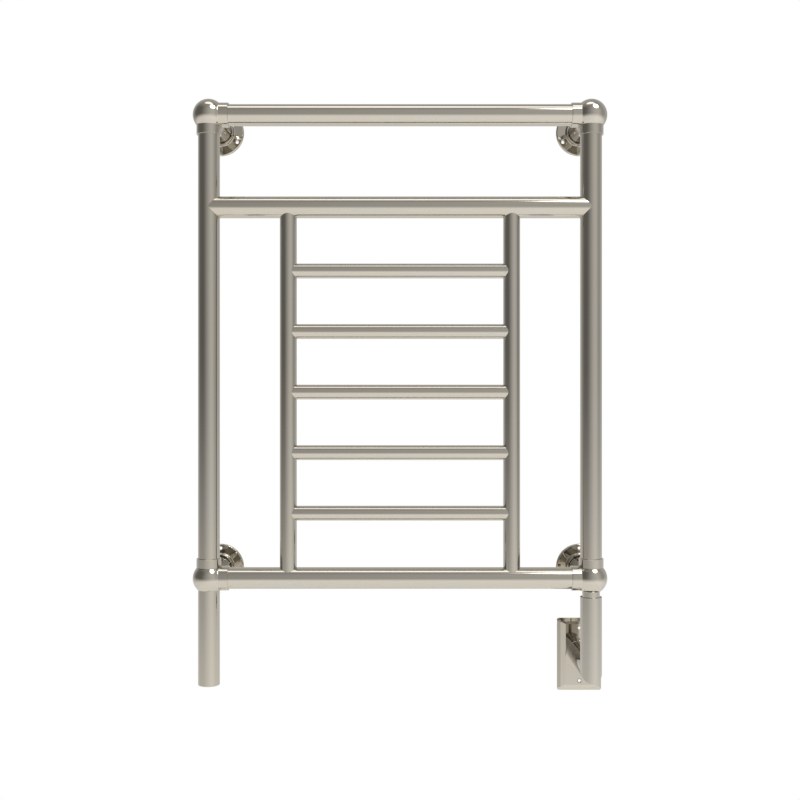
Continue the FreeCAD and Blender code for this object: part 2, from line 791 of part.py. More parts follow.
def build_wall_plate():
    """A cover plate with a steep bevel, a shallow slope up to its flat face and a hollow back."""
    half_width = dim("plate_width") * 0.5
    half_height = dim("plate_height") * 0.5
    body = doc.addObject("PartDesign::Body", "wall_plate_body")

    foot_sketch = new_sketch(body, "XY_Plane")
    rounded_rectangle(foot_sketch, half_width, half_height, dim("plate_corner"))
    foot = body.newObject("PartDesign::Pad", "foot")
    foot.Profile = foot_sketch
    foot.setExpression("Length", dim("plate_edge").text)

    edge_sketch = new_sketch(body, "XY_Plane", dim("plate_edge"))
    rounded_rectangle(edge_sketch, half_width, half_height, dim("plate_corner"))
    bevel = dim("plate_bevel")
    inner_corner = dim("plate_face_corner")
    shoulder_sketch = new_sketch(body, "XY_Plane", dim("plate_shoulder"))
    rounded_rectangle(shoulder_sketch, half_width - bevel, half_height - bevel, inner_corner)
    face_sketch = new_sketch(body, "XY_Plane", dim("plate_depth"))
    rounded_rectangle(face_sketch, half_width - dim("plate_face_side_inset"),
                      half_height - dim("plate_face_end_inset"), inner_corner)
    for name, low, high in (("steep_bevel", edge_sketch, shoulder_sketch),
                            ("shallow_slope", shoulder_sketch, face_sketch)):
        slope = body.newObject("PartDesign::AdditiveLoft", name)
        slope.Profile = low
        slope.Sections = [high]
        slope.Ruled = True
        doc.recompute()

    rounding = body.newObject("PartDesign::Fillet", "shoulder_rounding")
    rounding.Base = (slope, edges_at_height(slope.Shape, dim("plate_shoulder").value))
    rounding.setExpression("Radius", dim("plate_shoulder_round").text)

    hollow_sketch = new_sketch(body, "XY_Plane")
    rounded_rectangle(hollow_sketch, half_width - bevel, half_height - bevel, inner_corner)
    pocket(body, hollow_sketch, dim("plate_hollow_depth"), reverse=True)

    tube_sketch = new_sketch(body, "XY_Plane")
    draw_circle(tube_sketch, dim("main_radius"))
    pocket(body, tube_sketch, dim("plate_depth") * 2, reverse=True)

    hole_sketch = new_sketch(body, "XY_Plane", dim("plate_depth"))
    for side in (-1, 1):
        draw_circle(hole_sketch, dim("plate_screw_radius"), (0, dim("plate_screw_spacing") * (0.5 * side)))
    body.Tip = countersunk_hole(body, hole_sketch, dim("plate_screw_radius"), dim("plate_screw_sink"))
    finish(body, "wall_plate", (dim("post_half_spacing"), 0, -dim("elbow_drop")), TOWARDS_ROOM)


def build_plate_ring():
    """A thin escutcheon ring round the elbow tube, with a rounded edge."""
    ring = turned([
        (dim("main_radius"), 0),
        (dim("ring_radius"), 0),
        (dim("ring_radius"), dim("ring_height"), dim("ring_edge_round")),
        (dim("main_radius"), dim("ring_height")),
    ])
    at = (dim("post_half_spacing"), -dim("plate_depth"), -dim("elbow_drop"))
    finish(ring, "plate_ring", at, TOWARDS_ROOM)


# Checks and export ----------------------------------------------------------------------------

def check_document():
    """Stop if any feature failed or any sub-part has no sound shape."""
    for item in doc.Objects:
        if "Invalid" in item.State or "Error" in item.State:
            raise RuntimeError(f"{item.Label}: failed to compute")
    for item in sub_parts:
        if item.Shape.isNull() or not item.Shape.isValid():
            raise RuntimeError(f"{item.Label}: no valid shape")


def export_sub_parts():
    os.makedirs("parts", exist_ok=True)
    for item in sub_parts:
        item.Shape.exportStep(f"parts/{item.Label}.step")
        print(f"{item.Label}: {len(item.Shape.Solids)} solid(s), {item.Shape.Volume:.0f} mm3")


fill_sheet()
build_posts()
build_rails()
build_inner_uprights()
build_rungs()
build_ball_fittings()
build_standoff_sleeves()
build_sleeve_screws()
build_wall_flanges()
build_grub_screws()
build_left_leg()
build_heating_element()
build_leg_neck()
build_right_leg()
build_leads()
build_terminal_block()
build_lead_bush()
build_wall_plate()
build_plate_ring()
doc.recompute()
check_document()
export_sub_parts()
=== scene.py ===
import json
import math

import bpy
from mathutils import Matrix, Vector
from mathutils.geometry import tessellate_polygon


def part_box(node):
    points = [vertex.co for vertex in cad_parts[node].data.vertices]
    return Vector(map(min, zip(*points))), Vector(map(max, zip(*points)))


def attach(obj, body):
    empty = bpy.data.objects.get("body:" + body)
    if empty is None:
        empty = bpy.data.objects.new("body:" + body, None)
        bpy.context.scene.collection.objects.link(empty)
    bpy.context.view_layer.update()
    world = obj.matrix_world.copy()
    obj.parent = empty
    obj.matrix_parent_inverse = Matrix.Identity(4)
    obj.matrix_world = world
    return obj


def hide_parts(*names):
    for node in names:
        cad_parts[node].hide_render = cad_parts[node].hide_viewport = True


# A polished nickel towel warmer rack. Every visible CAD node gets a finer piece that stands for
# it, with exact normals, because flat facets would show in a mirror finish.
# Metres. +X to the right, +Z up, and the wall is the plane Y = 0 with the room towards -Y.

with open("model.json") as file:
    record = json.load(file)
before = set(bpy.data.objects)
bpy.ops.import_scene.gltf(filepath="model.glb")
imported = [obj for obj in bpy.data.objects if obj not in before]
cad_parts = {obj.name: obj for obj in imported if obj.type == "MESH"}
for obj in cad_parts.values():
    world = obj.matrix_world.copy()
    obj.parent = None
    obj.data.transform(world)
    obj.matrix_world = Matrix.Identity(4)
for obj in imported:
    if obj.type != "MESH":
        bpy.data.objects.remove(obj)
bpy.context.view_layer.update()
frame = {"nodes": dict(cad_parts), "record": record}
nodes = frame["nodes"]

MM = 0.001
RING = 144                      # points round a tube or a fitting
HOLE_RING = 48                  # points round a screw hole
ARC = 10                        # steps along a rounded edge
SPHERE_STEPS = 36               # steps along each stretch of a ball fitting's meridian
FILLET_STEPS = 8
COLLAR_STEPS = 4
CAP_STEPS = 12                  # steps along the rounded end of a waterway
HALVINGS = 50                   # of an interval, to find a crossing
WELDS_PER_METRE = 1e7           # points closer than this grid are one point
HAIRLINE = 0.05 * MM            # the gap that a joint line shows

# Sizes that the boxes of the CAD nodes don't give.
TUBE_WALL = 1.5 * MM
THIN_TUBE_WALL = 1.2 * MM
COLLAR_RADIUS = 18.3 * MM
COLLAR_BEVEL = 0.25 * MM
BALL_FILLET = 3 * MM
WATERWAY_RADIUS = 13 * MM
SLEEVE_WALL = 2.5 * MM
FLANGE_THICKNESS = 4 * MM
FLANGE_EDGE_ROUND = 2.2 * MM
FLANGE_FLOOR = 3 * MM
FLANGE_SCREW_COUNT = 3
FLANGE_SCREW_CIRCLE = 30 * MM
FLANGE_SCREW_RADIUS = 2.6 * MM
FLANGE_SCREW_SINK = 3.6 * MM
BOSS_RADIUS = 21 * MM
BOSS_FOOT_ROUND = 2 * MM
BOSS_LIP_ROUND = 0.8 * MM
BOSS_BORE_RADIUS = 18.5 * MM
LEG_RIM_ROUND = 1.2 * MM
NECK_RADIUS = 13 * MM
NECK_BORE_RADIUS = 10 * MM
RIM_CHAMFER = 0.4 * MM
PLATE_EDGE = 1.4 * MM
PLATE_BEVEL = 5 * MM
PLATE_SHOULDER = 4.9 * MM
PLATE_FACE_SIDE_INSET = 13.3 * MM
PLATE_FACE_END_INSET = 9.1 * MM
PLATE_CORNER = 3 * MM
PLATE_FACE_CORNER = 1.2 * MM
PLATE_CORNER_STEPS = 12
PLATE_SHOULDER_ROUND = 1 * MM
PLATE_EDGE_ROUND = 0.3 * MM
PLATE_HOLLOW_DEPTH = 3.2 * MM
PLATE_SCREW_SPACING = 83.3 * MM
PLATE_SCREW_RADIUS = 2.4 * MM
PLATE_SCREW_SINK = 3.3 * MM
RING_EDGE_ROUND = 1.2 * MM

CORNERS = [(right, upper) for upper in (1, -1) for right in (-1, 1)]


def corner_name(right, upper):
    return ("upper_" if upper > 0 else "lower_") + ("right" if right > 0 else "left")


def side_name(right):
    return "right" if right > 0 else "left"


def middle(node):
    low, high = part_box(node)
    return (low + high) / 2


def half_size(node):
    low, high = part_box(node)
    return (high - low) / 2


# Surfaces -------------------------------------------------------------------------------------

class Skin:
    """A closed surface under construction: welded points, and a true normal at each face corner."""

    def __init__(self, placement):
        self.placement = placement
        self.turn = placement.to_3x3()
        self.points = []
        self.index = {}
        self.faces = []
        self.normals = []

    def corner(self, point):
        placed = self.placement @ Vector(point)
        key = tuple(round(value * WELDS_PER_METRE) for value in placed)
        if key not in self.index:
            self.index[key] = len(self.points)
            self.points.append(placed)
        return self.index[key]

    def face(self, points, normals, flat=False):
        """One face. Its normals say which way is out; a flat face is shaded by its own normal."""
        ids = [self.corner(point) for point in points]
        keep = [k for k in range(len(ids)) if ids[k] != ids[k - 1]]
        if len({ids[k] for k in keep}) < 3:
            return
        placed = [self.points[ids[k]] for k in keep]
        own = Vector()
        for k in range(1, len(placed) - 1):
            own += (placed[k] - placed[0]).cross(placed[k + 1] - placed[0])
        outward = [self.turn @ Vector(normals[k]) for k in keep]
        if own.dot(sum(outward, Vector())) < 0:
            keep.reverse()
            outward.reverse()
            own.negate()
        if flat:
            outward = [own.normalized()] * len(keep)
        self.faces.append([ids[k] for k in keep])
        self.normals.extend(normal.normalized() for normal in outward)

    def grid(self, rows, normals, loop=True, flat=False):
        for low, high, low_normals, high_normals in zip(rows, rows[1:], normals, normals[1:]):
            for here in range(len(low) if loop else len(low) - 1):
                there = (here + 1) % len(low)
                self.face([low[here], low[there], high[there], high[here]],
                          [low_normals[here], low_normals[there],
                           high_normals[there], high_normals[here]], flat)

    def flat_region(self, loops, normal):
        """A level face bounded by an outer loop and any number of holes."""
        points = [Vector(point) for loop in loops for point in loop]
        for triangle in tessellate_polygon([[Vector(point) for point in loop] for loop in loops]):
            self.face([points[k] for k in triangle], [normal] * 3)

    def build(self, name, material):
        mesh = bpy.data.meshes.new(name)
        mesh.from_pydata([tuple(point) for point in self.points], [], self.faces)
        mesh.polygons.foreach_set("use_smooth", [True] * len(self.faces))
        mesh.normals_split_custom_set([tuple(normal) for normal in self.normals])
        mesh.materials.append(material)
        piece = bpy.data.objects.new(name, mesh)
        bpy.context.scene.collection.objects.link(piece)
        return piece


def circle(radius, height, centre=(0, 0), count=RING):
    """A level ring of points."""
    angles = [2 * math.pi * k / count for k in range(count)]
    return [(centre[0] + radius * math.cos(a), centre[1] + radius * math.sin(a), height)
            for a in angles]


def outline_strips(corners):
    """
    The strips of a closed outline, anticlockwise in the (radius, height) plane. A corner is
    (radius, height) or (radius, height, rounding). A strip is a list of (point, normal).
    """
    strips = []
    arcs = []
    for k, corner in enumerate(corners):
        here = Vector(corner[:2])
        way_in = (here - Vector(corners[k - 1][:2])).normalized()
        way_out = (Vector(corners[(k + 1) % len(corners)][:2]) - here).normalized()
        rounding = corner[2] if len(corner) > 2 else 0.0
        turn = math.atan2(way_in.cross(way_out), way_in.dot(way_out))
        trim = rounding * math.tan(abs(turn) / 2)
        out = Vector((way_in.y, -way_in.x))
        side = math.copysign(rounding, turn)
        centre = here - way_in * trim - out * side
        steps = ARC if rounding else 1
        arc = []
        for step in range(steps + 1):
            normal = Matrix.Rotation(turn * step / steps, 2) @ out
            arc.append((centre + normal * side, normal))
        arcs.append((arc, rounding > 0, out))
    for k, (arc, is_round, out) in enumerate(arcs):
        strips.append([(arcs[k - 1][0][-1][0], out), (arc[0][0], out)])
        if is_round:
            strips.append(arc)
    return strips


def spin(skin, strips, count=RING):
    """Turns strips of (radius, height) about the local Z axis."""
    angles = [2 * math.pi * k / count for k in range(count)]
    for strip in strips:
        rows = [[(p.x * math.cos(a), p.x * math.sin(a), p.y) for a in angles] for p, _ in strip]
        normals = [[(n.x * math.cos(a), n.x * math.sin(a), n.y) for a in angles] for _, n in strip]
        skin.grid(rows, normals)


def weave(skin, meridians):
    """The surface through a loop of meridians, each a list of strips of (point, normal)."""
    for strips in zip(*meridians):
        rows = list(zip(*strips))
        skin.grid([[point for point, _ in row] for row in rows],
                  [[normal for _, normal in row] for row in rows])


def shaped_tube(skin, radius, wall, start, end, count=RING):
    """A tube along local Z. start and end give the height of its ends over a point (x, y)."""
    rows = []
    for ring_radius, way in ((radius, 1), (radius - wall, -1)):
        flat_ring = circle(ring_radius, 0, count=count)
        radial = [(way * x, way * y, 0) for x, y, _ in flat_ring]
        ring_rows = [[(x, y, height(x, y)) for x, y, _ in flat_ring] for height in (start, end)]
        skin.grid(ring_rows, [radial, radial])
        rows.append(ring_rows)
    for which, way in ((0, -1), (1, 1)):
        normals = [[(0, 0, way)] * count] * 2
        skin.grid([rows[0][which], rows[1][which]], normals, flat=True)


def level(height):
    return lambda x, y: height


def coped(height, mate_radius, away):
    """The end of a tube that sits on another tube, whose axis is local X at this height."""
    return lambda x, y: height + away * math.sqrt(max(mate_radius ** 2 - y ** 2, 0))


# Placements -----------------------------------------------------------------------------------

def placement(at, x_axis, y_axis, z_axis):
    turn = Matrix((x_axis, y_axis, z_axis)).transposed().to_4x4()
    return Matrix.Translation(at) @ turn


def upright_at(at):
    """The world's own axes."""
    return placement(at, (1, 0, 0), (0, 1, 0), (0, 0, 1))


def along_x_at(at):
    """Local Z runs along +X, and local Y up."""
    return placement(at, (0, 1, 0), (0, 0, 1), (1, 0, 0))


def along_x_on_upright(at):
    """Local Z runs along +X, and local X up."""
    return placement(at, (0, 0, 1), (0, -1, 0), (1, 0, 0))


def on_wall_at(at):
    """Local Z runs out of the wall into the room, and local Y up."""
    return placement(at, (1, 0, 0), (0, 0, 1), (0, -1, 0))


# Materials ------------------------------------------------------------------------------------

def new_material(name):
    material = bpy.data.materials.new(name)
    material.use_nodes = True
    tree = material.node_tree
    shader = tree.nodes["Principled BSDF"]
    place = tree.nodes.new("ShaderNodeTexCoord")
    return material, tree, shader, place


def stretched(tree, place, scale):
    """Object coordinates, scaled on each axis."""
    mapping = tree.nodes.new("ShaderNodeMapping")
    mapping.inputs["Scale"].default_value = scale
    tree.links.new(place.outputs["Object"], mapping.inputs["Vector"])
    return mapping.outputs["Vector"]


def noise(tree, vector, scale, detail=2.0):
    texture = tree.nodes.new("ShaderNodeTexNoise")
    texture.inputs["Scale"].default_value = scale
    texture.inputs["Detail"].default_value = detail
    tree.links.new(vector, texture.inputs["Vector"])
    return texture.outputs["Fac"]


def ranged(tree, value, low, high):
    """Spreads the middle of a noise over low to high."""
    node = tree.nodes.new("ShaderNodeMapRange")
    node.inputs["From Min"].default_value = 0.3
    node.inputs["From Max"].default_value = 0.7
    node.inputs["To Min"].default_value = low
    node.inputs["To Max"].default_value = high
    tree.links.new(value, node.inputs["Value"])
    return node.outputs["Result"]


def blended(tree, factor, first, second):
    node = tree.nodes.new("ShaderNodeMix")
    node.data_type = "RGBA"
    node.inputs["A"].default_value = (*first, 1)
    node.inputs["B"].default_value = (*second, 1)
    tree.links.new(factor, node.inputs["Factor"])
    return node.outputs["Result"]


def add_bump(tree, shader, height, strength, distance):
    node = tree.nodes.new("ShaderNodeBump")
    node.inputs["Strength"].default_value = strength
    node.inputs["Distance"].default_value = distance
    tree.links.new(height, node.inputs["Height"])
    tree.links.new(node.outputs["Normal"], shader.inputs["Normal"])


NICKEL_WARM = (0.648, 0.598, 0.507)
NICKEL_COOL = (0.635, 0.598, 0.527)


def nickel(name, roughness, grain_scale):
    """Polished nickel plate: warm tint with a slow drift, polishing haze and a faint waviness."""
    material, tree, shader, place = new_material(name)
    shader.inputs["Metallic"].default_value = 1.0
    drift = noise(tree, place.outputs["Object"], scale=9.0)
    tint = blended(tree, ranged(tree, drift, 0, 1), NICKEL_WARM, NICKEL_COOL)
    tree.links.new(tint, shader.inputs["Base Color"])
    haze = noise(tree, stretched(tree, place, grain_scale), scale=1.0, detail=4.0)
    tree.links.new(ranged(tree, haze, roughness * 0.8, roughness * 1.25), shader.inputs["Roughness"])
    wave = noise(tree, place.outputs["Object"], scale=55.0, detail=1.0)
    add_bump(tree, shader, wave, strength=0.05, distance=0.2 * MM)
    return material


def plain_metal(name, colour, dark, roughness, scale):
    """Machined or drawn metal with a fine grain."""
    material, tree, shader, place = new_material(name)
    shader.inputs["Metallic"].default_value = 1.0
    grain = noise(tree, stretched(tree, place, (1, 1, 6)), scale, detail=3.0)
    tree.links.new(blended(tree, ranged(tree, grain, 0, 1), colour, dark), shader.inputs["Base Color"])
    tree.links.new(ranged(tree, grain, roughness * 0.8, roughness * 1.3), shader.inputs["Roughness"])
    add_bump(tree, shader, grain, strength=0.15, distance=0.1 * MM)
    return material


def moulded(name, colour, dark, roughness, scale):
    """Rubber or plastic with a fine moulded texture."""
    material, tree, shader, place = new_material(name)
    grain = noise(tree, place.outputs["Object"], scale, detail=4.0)
    tree.links.new(blended(tree, ranged(tree, grain, 0, 1), colour, dark), shader.inputs["Base Color"])
    tree.links.new(ranged(tree, grain, roughness * 0.9, roughness * 1.1), shader.inputs["Roughness"])
    add_bump(tree, shader, grain, strength=0.3, distance=0.1 * MM)
    return material


MATERIALS = {
    "nickel_tube": nickel("nickel_tube", 0.075, (60, 60, 60)),
    "nickel_casting": nickel("nickel_casting", 0.06, (90, 90, 90)),
    "nickel_plate": nickel("nickel_plate", 0.035, (70, 70, 70)),
    "screw_steel": plain_metal("screw_steel", (0.56, 0.55, 0.53), (0.46, 0.45, 0.44), 0.25, 900),
    "element_steel": plain_metal("element_steel", (0.45, 0.44, 0.42), (0.36, 0.35, 0.33), 0.35, 500),
    "element_brass": plain_metal("element_brass", (0.75, 0.58, 0.30), (0.64, 0.47, 0.22), 0.25, 700),
    "seal_rubber": moulded("seal_rubber", (0.03, 0.03, 0.03), (0.018, 0.018, 0.018), 0.6, 900),
    "cutout_resin": moulded("cutout_resin", (0.12, 0.07, 0.04), (0.08, 0.045, 0.025), 0.45, 1200),
    "line_sleeve": moulded("line_sleeve", (0.04, 0.04, 0.04), (0.025, 0.025, 0.025), 0.5, 1500),
    "neutral_sleeve": moulded("neutral_sleeve", (0.80, 0.80, 0.77), (0.72, 0.72, 0.69), 0.5, 1500),
    "earth_sleeve": moulded("earth_sleeve", (0.08, 0.35, 0.12), (0.05, 0.27, 0.09), 0.5, 1500),
    "terminal_nylon": moulded("terminal_nylon", (0.82, 0.81, 0.75), (0.74, 0.73, 0.67), 0.4, 1100),
}


def finish_piece(skin, node):
    """Builds a skin as the piece that stands for a CAD node."""
    slot = next(part["material_slot"] for part in frame["record"]["subparts"] if part["node"] == node)
    piece = skin.build(node + "_polished", MATERIALS[slot])
    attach(piece, "root")
    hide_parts(node)
    return piece


# Where things are -----------------------------------------------------------------------------

post_x = middle("right_post").x
frame_y = middle("right_post").y
main_radius = half_size("right_post").x
rail_z = middle("top_rail").z
towel_rail_z = middle("towel_rail").z
upright_x = middle("right_inner_upright").x
upright_radius = half_size("right_inner_upright").x


def frame_corner(right, upper):
    return Vector((post_x * right, frame_y, rail_z * upper))


# Tubes ----------------------------------------------------------------------------------------

def make_posts():
    for right in (-1, 1):
        node = side_name(right) + "_post"
        reach = half_size(node).z
        skin = Skin(upright_at((post_x * right, frame_y, 0)))
        shaped_tube(skin, main_radius, TUBE_WALL, level(-reach), level(reach))
        finish_piece(skin, node)


def make_rails():
    for node, height in (("top_rail", rail_z), ("bottom_rail", -rail_z)):
        reach = half_size(node).x
        skin = Skin(along_x_at((0, frame_y, height)))
        shaped_tube(skin, main_radius, TUBE_WALL, level(-reach), level(reach))
        finish_piece(skin, node)
    skin = Skin(along_x_on_upright((0, frame_y, towel_rail_z)))
    shaped_tube(skin, main_radius, TUBE_WALL, coped(-post_x, main_radius, 1),
                coped(post_x, main_radius, -1))
    finish_piece(skin, "towel_rail")


def make_inner_uprights():
    for right in (-1, 1):
        skin = Skin(upright_at((upright_x * right, frame_y, 0)))
        shaped_tube(skin, upright_radius, THIN_TUBE_WALL, coped(-rail_z, main_radius, 1),
                    coped(towel_rail_z, main_radius, -1))
        finish_piece(skin, side_name(right) + "_inner_upright")


def make_rungs():
    for node in sorted(name for name in nodes if name.startswith("rung_")):
        skin = Skin(along_x_on_upright((0, frame_y, middle(node).z)))
        shaped_tube(skin, half_size(node).z, THIN_TUBE_WALL, coped(-upright_x, upright_radius, 1),
                    coped(upright_x, upright_radius, -1))
        finish_piece(skin, node)


# Ball fittings --------------------------------------------------------------------------------

class BallProfile:
    """
    The outside of a ball and its collar, turned about the collar's axis: a sphere, a concave
    fillet, a cylinder and a bevel. A stretch gives (along, radius, normal), from an angle or, on
    the cylinder, from the distance along the axis.
    """

    def __init__(self, ball, collar, fillet, reach, bevel):
        self.ball = ball
        self.collar = collar
        self.fillet = fillet
        self.reach = reach
        self.bevel = bevel
        self.fillet_radius_centre = collar + fillet
        self.fillet_along = math.sqrt((ball + fillet) ** 2 - self.fillet_radius_centre ** 2)
        self.tangent_angle = math.atan2(self.fillet_radius_centre, self.fillet_along)

    def on_sphere(self, angle):
        """A point at an angle from the collar's axis."""
        along, out = math.cos(angle), math.sin(angle)
        return self.ball * along, self.ball * out, (along, out)

    def on_fillet(self, angle):
        """A point of the fillet whose normal leans this far from the collar's axis."""
        along, out = math.cos(angle), math.sin(angle)
        return (self.fillet_along - self.fillet * along,
                self.fillet_radius_centre - self.fillet * out, (along, out))

    def on_collar(self, along):
        return along, self.collar, (0, 1)


def crossing(curve, low, high, sine):
    """Where a curve meets the slanting plane between the two collars, by halving."""
    for _ in range(HALVINGS):
        guess = (low + high) / 2
        along, radius, _normal = curve(guess)
        if radius * sine > along:
            low = guess
        else:
            high = guess
    return (low + high) / 2


def stretch(curve, low, high, steps):
    return [curve(low + (high - low) * k / steps) for k in range(steps + 1)]


def outer_meridian(profile, sine):
    """One meridian of the half that belongs to a collar, from the slanting plane outwards."""
    sphere_start = math.acos(sine / math.sqrt(1 + sine ** 2))
    strips = []
    if sphere_start >= profile.tangent_angle:
        fillet_start = profile.tangent_angle
        collar_start = profile.fillet_along
    elif profile.collar * sine <= profile.fillet_along:
        fillet_start = crossing(profile.on_fillet, profile.tangent_angle, math.pi / 2, sine)
        sphere_start = None
        collar_start = profile.fillet_along
    else:
        sphere_start = None
        fillet_start = None
        collar_start = profile.collar * sine
    first = profile.on_collar(collar_start)
    if fillet_start is not None:
        strips.insert(0, stretch(profile.on_fillet, fillet_start, math.pi / 2, FILLET_STEPS))
        first = strips[0][0]
    else:
        strips.insert(0, [first] * (FILLET_STEPS + 1))
    if sphere_start is not None:
        strips.insert(0, stretch(profile.on_sphere, sphere_start, profile.tangent_angle,
                                 SPHERE_STEPS))
    else:
        strips.insert(0, [first] * (SPHERE_STEPS + 1))
    straight = profile.reach - profile.bevel
    strips.append(stretch(profile.on_collar, collar_start, straight, COLLAR_STEPS))
    slope = (math.sqrt(0.5), math.sqrt(0.5))
    lip = profile.collar - profile.bevel
    strips.append([(straight, profile.collar, slope), (profile.reach, lip, slope)])
    bore = main_radius + HAIRLINE
    strips.append([(profile.reach, lip, (1, 0)), (profile.reach, bore, (1, 0))])
    return strips


def inner_meridian(profile, stop, sine):
    """The socket and the waterway, from the collar's end back to the slanting plane."""
    bore = main_radius + HAIRLINE
    inward = (0, -1)
    strips = [
        [(profile.reach, bore, inward), (stop, bore, inward)],
        [(stop, bore, (1, 0)), (stop, WATERWAY_RADIUS, (1, 0))],
    ]
    way_end = max(0, WATERWAY_RADIUS * sine)
    strips.append([(stop, WATERWAY_RADIUS, inward), (way_end, WATERWAY_RADIUS, inward)])
    cap = []
    cap_end = math.acos(min(sine, 0) / math.sqrt(1 + sine ** 2))
    for k in range(CAP_STEPS + 1):
        angle = math.pi / 2 + (cap_end - math.pi / 2) * k / CAP_STEPS
        along, out = math.cos(angle), math.sin(angle)
        cap.append((WATERWAY_RADIUS * along, WATERWAY_RADIUS * out, (-along, -out)))
    strips.append(cap if sine < 0 else [(way_end, WATERWAY_RADIUS, inward)] * (CAP_STEPS + 1))
    return strips


def make_balls():
    """Each ball is two halves that meet on the slanting plane between its collars."""
    for right, upper in CORNERS:
        node = corner_name(right, upper) + "_ball"
        at = frame_corner(right, upper)
        low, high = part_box(node)
        ball = half_size(node).y
        reach = high.x - at.x if right < 0 else at.x - low.x
        profile = BallProfile(ball, COLLAR_RADIUS, BALL_FILLET, reach, COLLAR_BEVEL)
        rail_end = half_size("top_rail").x
        stop = post_x - rail_end
        towards_rail = (-right, 0, 0)
        towards_post = (0, 0, -upper)
        skin = Skin(Matrix.Translation(at))
        for own, other in ((towards_rail, towards_post), (towards_post, towards_rail)):
            own, other, side = Vector(own), Vector(other), Vector((0, 1, 0))
            meridians = []
            for k in range(RING):
                angle = 2 * math.pi * k / RING
                sine, cosine = math.sin(angle), math.cos(angle)
                strips = outer_meridian(profile, sine) + inner_meridian(profile, stop, sine)
                radial = side * cosine + other * sine
                meridians.append([[(own * along + radial * radius, own * n[0] + radial * n[1])
                                   for along, radius, n in strip] for strip in strips])
            weave(skin, meridians)
        finish_piece(skin, node)


# Standoffs ------------------------------------------------------------------------------------

def make_sleeves():
    """Tubes whose front ends are seated on the ball and its two collars."""
    for right, upper in CORNERS:
        node = corner_name(right, upper) + "_sleeve"
        at = frame_corner(right, upper)
        ball = half_size(corner_name(right, upper) + "_ball").y
        radius = half_size(node).x
        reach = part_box(node)[1].y - frame_y

        def seat(x, y, right=right, upper=upper, ball=ball):
            """Local X is the world's X, and local Y points down."""
            height = math.sqrt(max(ball ** 2 - x ** 2 - y ** 2, 0))
            if x * -right > 0:
                height = max(height, math.sqrt(COLLAR_RADIUS ** 2 - y ** 2))
            if y * upper > 0:
                height = max(height, math.sqrt(COLLAR_RADIUS ** 2 - x ** 2))
            return height

        skin = Skin(placement(at, (1, 0, 0), (0, 0, -1), (0, 1, 0)))
        shaped_tube(skin, radius, SLEEVE_WALL, seat, level(reach))
        finish_piece(skin, node)


def screw_hole(skin, centre, radius, sink, front, back):
    """The wall of a countersunk hole between two level faces."""
    sink_floor = front - (sink - radius)
    slope = math.sqrt(0.5)
    rings = [circle(r, h, centre, HOLE_RING) for r, h in
             ((sink, front), (radius, sink_floor), (radius, back))]
    inward = [(-x, -y, 0) for x, y, _ in circle(1, 0, count=HOLE_RING)]
    sloping = [(x * slope, y * slope, slope) for x, y, _ in inward]
    skin.grid(rings[:2], [sloping, sloping])
    skin.grid(rings[1:], [inward, inward])
    return rings[0], rings[2]


def make_flanges():
    for right, upper in CORNERS:
        node = corner_name(right, upper) + "_flange"
        radius = half_size(node).x
        height = half_size(node).y * 2
        skin = Skin(on_wall_at((post_x * right, 0, rail_z * upper)))
        strips = outline_strips([
            (0, 0),
            (radius, 0),
            (radius, FLANGE_THICKNESS, FLANGE_EDGE_ROUND),
            (BOSS_RADIUS, FLANGE_THICKNESS, BOSS_FOOT_ROUND),
            (BOSS_RADIUS, height, BOSS_LIP_ROUND),
            (BOSS_BORE_RADIUS, height),
            (BOSS_BORE_RADIUS, FLANGE_FLOOR),
            (0, FLANGE_FLOOR),
        ])
        face_outer = radius - FLANGE_EDGE_ROUND
        face_inner = BOSS_RADIUS + BOSS_FOOT_ROUND

        def holds_screws(strip):
            """The level face round the boss, or the back."""
            heights = {round(point.y / MM, 3) for point, _ in strip}
            outermost = max(point.x for point, _ in strip)
            return len(heights) == 1 and outermost > FLANGE_SCREW_CIRCLE

        spin(skin, [strip for strip in strips if not holds_screws(strip)])
        front_holes = []
        back_holes = []
        for k in range(FLANGE_SCREW_COUNT):
            angle = math.radians(90 + 360 / FLANGE_SCREW_COUNT * k)
            centre = (FLANGE_SCREW_CIRCLE * math.cos(angle), FLANGE_SCREW_CIRCLE * math.sin(angle))
            front, back = screw_hole(skin, centre, FLANGE_SCREW_RADIUS, FLANGE_SCREW_SINK,
                                     FLANGE_THICKNESS, 0)
            front_holes.append(front)
            back_holes.append(back)
        skin.flat_region([circle(face_outer, FLANGE_THICKNESS), circle(face_inner, FLANGE_THICKNESS)]
                         + front_holes, (0, 0, 1))
        skin.flat_region([circle(radius, 0)] + back_holes, (0, 0, -1))
        finish_piece(skin, node)


# Legs -----------------------------------------------------------------------------------------

def make_left_leg():
    low, _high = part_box("left_leg")
    bore = main_radius - TUBE_WALL
    ball = half_size("lower_left_ball").y
    inside_ball = math.sqrt(ball ** 2 - main_radius ** 2) - MM
    length = -rail_z - inside_ball - low.z
    skin = Skin(upright_at((-post_x, frame_y, low.z)))
    spin(skin, outline_strips([
        (bore, 0, RIM_CHAMFER),
        (main_radius, 0, LEG_RIM_ROUND),
        (main_radius, length),
        (bore, length),
    ]))
    finish_piece(skin, "left_leg")


